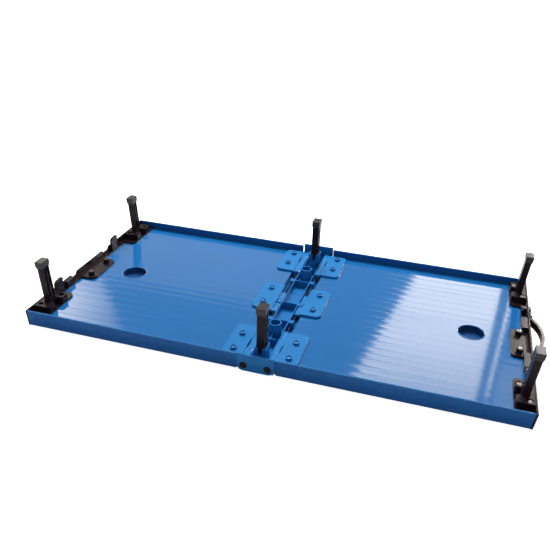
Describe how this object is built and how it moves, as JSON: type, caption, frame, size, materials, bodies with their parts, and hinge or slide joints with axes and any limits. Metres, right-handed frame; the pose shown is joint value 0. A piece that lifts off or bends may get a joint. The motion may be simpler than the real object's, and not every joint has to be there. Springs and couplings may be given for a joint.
{
  "type": "folding miniature table tennis table",
  "caption": "Folding tabletop table tennis table shown upside down: hinged boards, centre bridge, fold-out legs, ball pockets, latches and carry handle.",
  "frame": {"origin": "Middle of the table on its playing plane, which is the plane the table lies on here.", "axes": "+X along the table towards the carry handle, +Y across the table to the back long side, +Z out of the underside, up in this pose. In play the table is turned over and -Z points up."},
  "size_m": [0.6714, 0.3354, 0.0805],
  "materials": {
    "board_blue": "glossy smooth sheet",
    "rail_blue": "glossy",
    "bridge_blue": "glossy moulded",
    "black_plastic": "semi-gloss moulded",
    "black_rubber": "satin",
    "steel": "bright plated",
    "dark_steel": "dark oiled",
    "blue_steel": "blue plated"
  },
  "bodies": {
    "bridge": {"centre_bridge": "bridge_blue", "left_hinge_pin": "dark_steel", "right_hinge_pin": "dark_steel", "pin_bushings": "black_plastic", "front_middle_leg": "black_plastic", "front_middle_foot_cap": "black_rubber", "back_middle_leg": "black_plastic", "back_middle_foot_cap": "black_rubber"},
    "left_panel": {"left_board": "board_blue", "left_front_side_rail": "rail_blue", "left_back_side_rail": "rail_blue", "left_front_hinge": "bridge_blue", "left_middle_hinge": "bridge_blue", "left_back_hinge": "bridge_blue", "left_hinge_screws": "blue_steel", "left_end_rail": "black_plastic", "left_rail_screws": "steel", "left_leg_pins": "steel"},
    "right_panel": {"right_board": "board_blue", "right_front_side_rail": "rail_blue", "right_back_side_rail": "rail_blue", "right_front_hinge": "bridge_blue", "right_middle_hinge": "bridge_blue", "right_back_hinge": "bridge_blue", "right_hinge_screws": "blue_steel", "right_end_rail": "black_plastic", "right_rail_screws": "steel", "right_leg_pins": "steel", "carry_handle": "black_plastic", "handle_screws": "steel"},
    "front_left_leg": {"front_left_leg": "black_plastic", "front_left_foot_cap": "black_rubber"},
    "front_right_leg": {"front_right_leg": "black_plastic", "front_right_foot_cap": "black_rubber"},
    "front_release_button": {"front_release_button": "black_plastic"},
    "back_left_leg": {"back_left_leg": "black_plastic", "back_left_foot_cap": "black_rubber"},
    "back_right_leg": {"back_right_leg": "black_plastic", "back_right_foot_cap": "black_rubber"},
    "back_release_button": {"back_release_button": "black_plastic"}
  },
  "joints": [
    {"name": "left_fold", "type": "hinge", "parent": "bridge", "child": "left_panel", "pos_m": [-0.0157, 0, 0.008], "axis": [0, 1, 0], "range_deg": [0, 90]},
    {"name": "right_fold", "type": "hinge", "parent": "bridge", "child": "right_panel", "pos_m": [0.0157, 0, 0.008], "axis": [0, -1, 0], "range_deg": [0, 90]},
    {"name": "front_left_leg_fold", "type": "hinge", "parent": "left_panel", "child": "front_left_leg", "pos_m": [-0.3145, -0.126, 0.017], "axis": [0, 1, 0], "range_deg": [0, 94.5]},
    {"name": "front_right_leg_fold", "type": "hinge", "parent": "right_panel", "child": "front_right_leg", "pos_m": [0.3145, -0.126, 0.017], "axis": [0, -1, 0], "range_deg": [0, 94.5]},
    {"name": "back_left_leg_fold", "type": "hinge", "parent": "left_panel", "child": "back_left_leg", "pos_m": [-0.3145, 0.126, 0.017], "axis": [0, 1, 0], "range_deg": [0, 94.5]},
    {"name": "back_right_leg_fold", "type": "hinge", "parent": "right_panel", "child": "back_right_leg", "pos_m": [0.3145, 0.126, 0.017], "axis": [0, -1, 0], "range_deg": [0, 94.5]},
    {"name": "front_button_press", "type": "slide", "parent": "right_panel", "child": "front_release_button", "axis": [-1, 0, 0], "range_m": [0, 0.002], "stiffness_N_per_m": 600},
    {"name": "back_button_press", "type": "slide", "parent": "right_panel", "child": "back_release_button", "axis": [-1, 0, 0], "range_m": [0, 0.002], "stiffness_N_per_m": 600}
  ]
}
